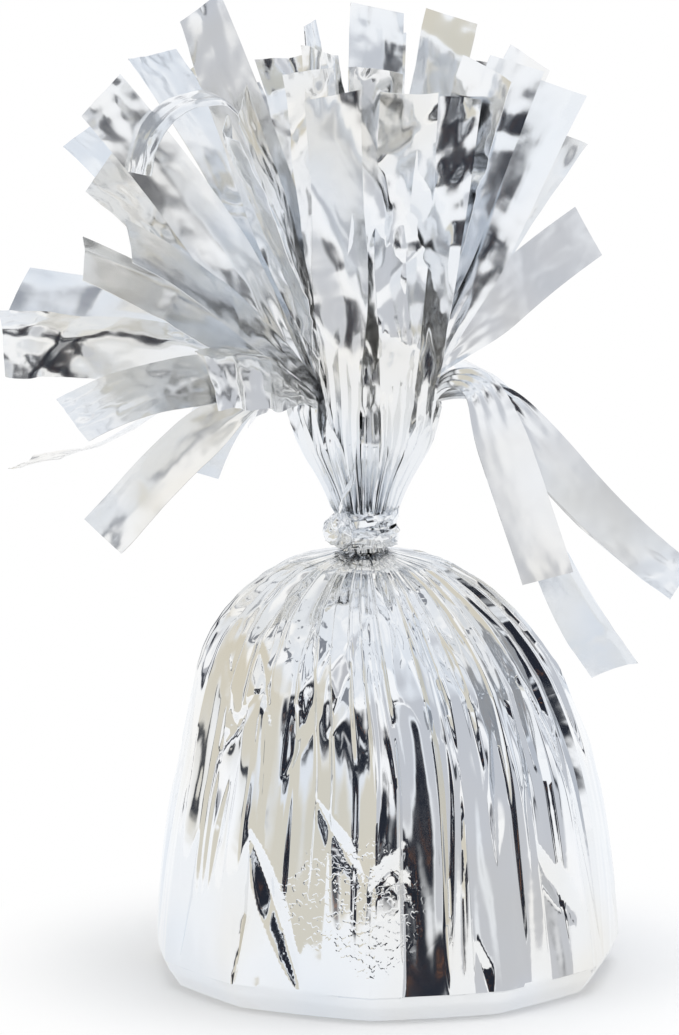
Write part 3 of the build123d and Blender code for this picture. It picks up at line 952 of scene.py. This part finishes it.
def strip_foot(neck, ring_radius, azimuth, root_width):
    """Foot of a strip down the neck and under the tie: points and widths, from the lowest up."""
    foot = []
    inner = neck.rim_radius + FOOT_GAP - ring_radius
    for drop in range(FOOT_ROWS, 0, -1):
        level = NECK_HIGH.z - drop * MM
        out = neck_radius(neck, level) + FOOT_GAP
        out -= inner * ease(1 - drop / FOOT_TURN_ROWS) + FOOT_SINK * rise_over(drop, FOOT_SINK_ROWS)
        spot = Vector((NECK_X, 0, level)) + heading(azimuth, 90) * out
        foot.append((spot, root_width * out / neck.rim_radius))
    return foot


class BALLOON_OT_ribbons(bpy.types.Operator):
    """Slit strips of the tuft, each bent as its solid is, with gathered roots and creases"""

    bl_idname = "balloon_weight.ribbons"
    bl_label = "Slit strips"

    def execute(self, context):
        settings = context.scene.balloon_weight
        ribbon, neck = settings.ribbon, settings.neck
        bodies = frame["record"]["behaviour"]["bodies"]
        home = {node: body for body, nodes in bodies.items() for node in nodes}
        joints = {joint["child"]: Vector(joint["pos_m"]) for joint in frame["joints"]}
        named = [(group, f"strip_{group}_{number:02d}", Strip(*row))
                 for group, rows in STRIPS.items() for number, row in enumerate(rows, start=1)]
        for seed, (group, node, strip) in enumerate(named, start=1):
            ring_radius = strip.ring * ribbon.ring_pitch
            root_width = ROOT_WIDTHS.get(group, ribbon.root_width)
            lift = ROOT_LIFT * abs(sin(radians(strip.roll))) * sin(radians(strip.leans[0]))
            root = Vector((NECK_X, 0, NECK_HIGH.z + ROOT_GAP + lift)) + heading(strip.azimuth, 90) * ring_radius
            foot = ()
            if strip.ring == OUTER_RING or group == "front":
                foot = strip_foot(neck, ring_radius, strip.azimuth, root_width)
            shape = Ribbon(strip, root, ribbon.length, root_width, ribbon.width, seed, foot).build(*STRIP_GRID)
            piece = film_piece(f"{node}_film", shape, "ribbon_film", [node], sharp=30)
            give_thickness(piece, settings.film.thickness)
            body = home[node]
            if body == "root":
                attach(piece, "root")
            else:
                start = joints[body]
                start + strip.along(0) * HINGE_REACH
                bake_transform(piece)
        return {"FINISHED"}


class BALLOON_OT_core(bpy.types.Operator):
    """Finishes of the pieces inside the wrap: moulded cup, packed fill and card disc"""

    bl_idname = "balloon_weight.core"
    bl_label = "Inner pieces"

    def execute(self, context):
        finishes = {
            "bell_cup": core_material("cup_plastic", (0.78, 0.78, 0.76), (0.9, 0.9, 0.88), 300.0, 0.35, 0.00002),
            "weight_fill": core_material("packed_sand", (0.42, 0.36, 0.27), (0.74, 0.66, 0.52), 1400.0, 0.9, 0.0003),
            "base_disc": core_material("plain_card", (0.6, 0.56, 0.49), (0.75, 0.71, 0.64), 700.0, 0.85, 0.00005),
        }
        for node, material in finishes.items():
            mesh = frame["nodes"][node].data
            mesh.materials.clear()
            mesh.materials.append(material)
        return {"FINISHED"}


class BALLOON_OT_finishes(bpy.types.Operator):
    """Film finishes: the wrap, the neck, the tie and the strips"""

    bl_idname = "balloon_weight.finishes"
    bl_label = "Film finishes"

    def execute(self, context):
        film = context.scene.balloon_weight.film
        film_relief_group()
        film_material("wrap_film", film, 210.0, 130.0, 0.1, 0.00003, 0.0, flecks=2.2)
        film_material("neck_film", film, 300.0, 200.0, 0.2, 0.00003, 0.02)
        film_material("tie_film", film, 360.0, 300.0, 0.2, 0.000015, 0.04)
        film_material("ribbon_film", film, 150.0, 140.0, 0.12, 0.00004, 0.11)
        return {"FINISHED"}


def make_floor(stage):
    """Flat floor that fades to plain white away from the object."""
    shape = bmesh.new()
    bmesh.ops.create_grid(shape, x_segments=8, y_segments=8, size=stage.floor_size)
    bmesh.ops.translate(shape, verts=shape.verts[:], vec=(0, 0, -0.05 * MM))
    mesh = bpy.data.meshes.new("floor")
    shape.to_mesh(mesh)
    shape.free()
    floor = add_object("floor", mesh)
    material, tree, shader, place = new_material("floor_white")
    feed(tree, shader.inputs, {"Base Color": (*stage.floor_colour, 1), "Roughness": 0.9, "Specular IOR Level": 0.0})
    ray = tree.nodes.new("ShaderNodeLightPath").outputs
    glow = add_node(tree, "ShaderNodeEmission", {"Color": (0.98, 0.99, 1.0, 1)}).outputs[0]
    white = add_node(tree, "ShaderNodeEmission", {"Color": (1, 1, 1, 1)}).outputs[0]
    mirrored = maths(tree, "MULTIPLY", ray["Is Glossy Ray"], FLOOR_GLOW)
    mix = add_node(tree, "ShaderNodeMixShader", {0: mirrored, 1: shader.outputs[0], 2: glow})
    reach = add_node(tree, "ShaderNodeVectorMath", {0: place}, operation="LENGTH")
    seen = product(tree, rise(tree, reach.outputs["Value"], *FLOOR_FADE), ray["Is Camera Ray"])
    fade = add_node(tree, "ShaderNodeMixShader", {0: seen, 1: mix.outputs[0], 2: white})
    tree.links.new(fade.outputs[0], tree.nodes["Material Output"].inputs["Surface"])
    mesh.materials.append(material)


def make_world():
    """Room that the film mirrors by direction: pale, with a warm and a grey side, screens and a dark front."""
    world = bpy.data.worlds.new("studio")
    bpy.context.scene.world = world
    world.use_nodes = True
    tree = world.node_tree
    tree.nodes.clear()
    out = tree.nodes.new("ShaderNodeOutputWorld")
    ray = tree.nodes.new("ShaderNodeLightPath").outputs
    place = tree.nodes.new("ShaderNodeTexCoord").outputs["Generated"]
    x, y, z = add_node(tree, "ShaderNodeSeparateXYZ", {0: place}).outputs

    def band(value, low, high):
        return rise(tree, value, low, high)

    def spots(low, high, *values):
        return band(noise_value(tree, place, *values), low, high)

    def times(*masks):
        return product(tree, *masks)

    def layer(below, colour, *masks):
        values = {0: times(*masks), 6: below, 7: (*colour, 1)}
        return add_node(tree, "ShaderNodeMix", values, data_type="RGBA").outputs[2]

    above = band(z, 0.01, 0.05)
    horizon = band(z, -0.045, -0.015)
    near = band(y, 0.3, -0.1)
    low_sky = times(horizon, band(z, 0.8, 0.5))
    room = layer((1.06, 1.06, 1.06, 1), (0.86, 0.89, 0.93), spots(0.56, 0.4, 1.7), above)
    room = layer(room, (0.26, 0.275, 0.31), band(z, 0.6, 0.72), spots(0.57, 0.61, 4.2))
    room = layer(room, WARM_SIDE, band(x, -0.44, -0.58), near, low_sky)
    room = layer(room, GREY_SIDE, band(x, 0.62, 0.72), near, low_sky)
    room = layer(room, GREY_SIDE, band(x, 0.46, 0.52), near, low_sky, band(z, 0.3, 0.22))
    patch = times(band(x, 0.42, 0.5), band(x, 0.66, 0.58), band(z, 0.38, 0.44), band(z, 0.64, 0.56))
    room = layer(room, (0.56, 0.565, 0.59), patch, near)
    side_gap = times(band(y, -0.02, 0.03), band(y, 0.15, 0.1), spots(0.45, 0.5, 5.0, 1.0))
    room = layer(room, (0.05, 0.055, 0.065), side_gap, above, band(z, 0.28, 0.2))

    tall = add_node(tree, "ShaderNodeVectorMath", {0: place, 1: (1.0, 1.0, 0.3)}, operation="MULTIPLY")
    screens = noise_value(tree, tall.outputs[0], 4.6)
    behind = times(band(y, 0.3, 0.4), horizon, band(z, 0.55, 0.42))
    room = layer(room, (0.5, 0.51, 0.545), behind, band(screens, 0.5, 0.53))
    room = layer(room, (0.05, 0.055, 0.07), behind, band(screens, 0.58, 0.6))

    front = times(band(x, -0.52, -0.44), band(x, 0.46, 0.4), band(y, -0.3, -0.5), horizon, band(z, 0.56, 0.48))
    direct = band(ray["Glossy Depth"], 3.5, 1.0)
    dark = times(front, spots(0.4, 0.48, 3.4, 4.0, 0.6), direct)
    room = layer(room, (0.02, 0.024, 0.035), dark)
    room = layer(room, (0.4, 0.18, 0.08), dark, spots(0.67, 0.72, 21.0))

    light = add_node(tree, "ShaderNodeBackground", {"Color": room}).outputs[0]
    white = add_node(tree, "ShaderNodeBackground", {"Color": (1, 1, 1, 1)}).outputs[0]
    mix = add_node(tree, "ShaderNodeMixShader", {0: ray["Is Camera Ray"], 1: light, 2: white})
    tree.links.new(mix.outputs[0], out.inputs["Surface"])


def make_lamps():
    """Large soft lamps above and to the sides."""
    for name, place, size, power in (
        ("overhead", (0.05, 0.1, 0.9), 0.7, 2.2),
        ("left_soft", (-0.8, -0.35, 0.55), 0.5, 1.0),
        ("right_soft", (0.8, -0.1, 0.5), 0.5, 0.8),
    ):
        lamp = bpy.data.lights.new(name, "AREA")
        lamp.shape = "SQUARE"
        lamp.size = size
        lamp.energy = power
        holder = add_object(name, lamp)
        holder.visible_glossy = False
        holder.location = place
        holder.rotation_euler = (Vector((0, 0, 0.06)) - Vector(place)).to_track_quat("-Z", "Y").to_euler()


def make_camera(stage):
    """Camera in front of the object, tilted down at it."""
    camera = bpy.data.cameras.new("camera")
    camera.lens = stage.lens
    camera.sensor_width = 36.0
    camera.clip_start = 0.01
    camera.clip_end = 20.0
    holder = add_object("camera", camera)
    back = Vector((0, -cos(stage.elevation), sin(stage.elevation)))
    holder.location = Vector(stage.aim) + back * stage.distance
    holder.rotation_euler = (pi / 2 - stage.elevation, 0, 0)
    return holder


class BALLOON_OT_stage(bpy.types.Operator):
    """Plain pale floor, soft studio light and the camera"""

    bl_idname = "balloon_weight.stage"
    bl_label = "Stage"

    def execute(self, context):
        stage = context.scene.balloon_weight.stage
        make_floor(stage)
        make_world()
        make_lamps()
        context.scene.camera = make_camera(stage)
        context.scene.view_settings.view_transform = "Standard"
        return {"FINISHED"}


class BALLOON_PT_panel(bpy.types.Panel):
    """Balloon weight panel"""

    bl_label = "Balloon weight"
    bl_idname = "BALLOON_PT_panel"
    bl_space_type = "VIEW_3D"
    bl_region_type = "UI"
    bl_category = "Balloon weight"

    def draw(self, context):
        settings = context.scene.balloon_weight
        for group in ("film", "body", "neck", "ribbon", "stage"):
            box = self.layout.box()
            part = getattr(settings, group)
            for key in part.__annotations__:
                box.prop(part, key)
        for operator in OPERATORS:
            self.layout.operator(operator.bl_idname)


OPERATORS = (
    BALLOON_OT_finishes,
    BALLOON_OT_core,
    BALLOON_OT_wrap,
    BALLOON_OT_neck,
    BALLOON_OT_tie,
    BALLOON_OT_ribbons,
    BALLOON_OT_stage,
)
CLASSES = (
    FilmSettings, BodySettings, NeckSettings, RibbonSettings, StageSettings, WeightSettings,
    *OPERATORS, BALLOON_PT_panel,
)


def register():
    for cls in CLASSES:
        bpy.utils.register_class(cls)
    bpy.types.Scene.balloon_weight = PointerProperty(type=WeightSettings)


def unregister():
    del bpy.types.Scene.balloon_weight
    for cls in reversed(CLASSES):
        bpy.utils.unregister_class(cls)


def main():
    """Build every piece in order."""
    register()
    for operator in OPERATORS:
        group, name = operator.bl_idname.split(".")
        getattr(getattr(bpy.ops, group), name)()


if __name__ == "__main__":
    main()
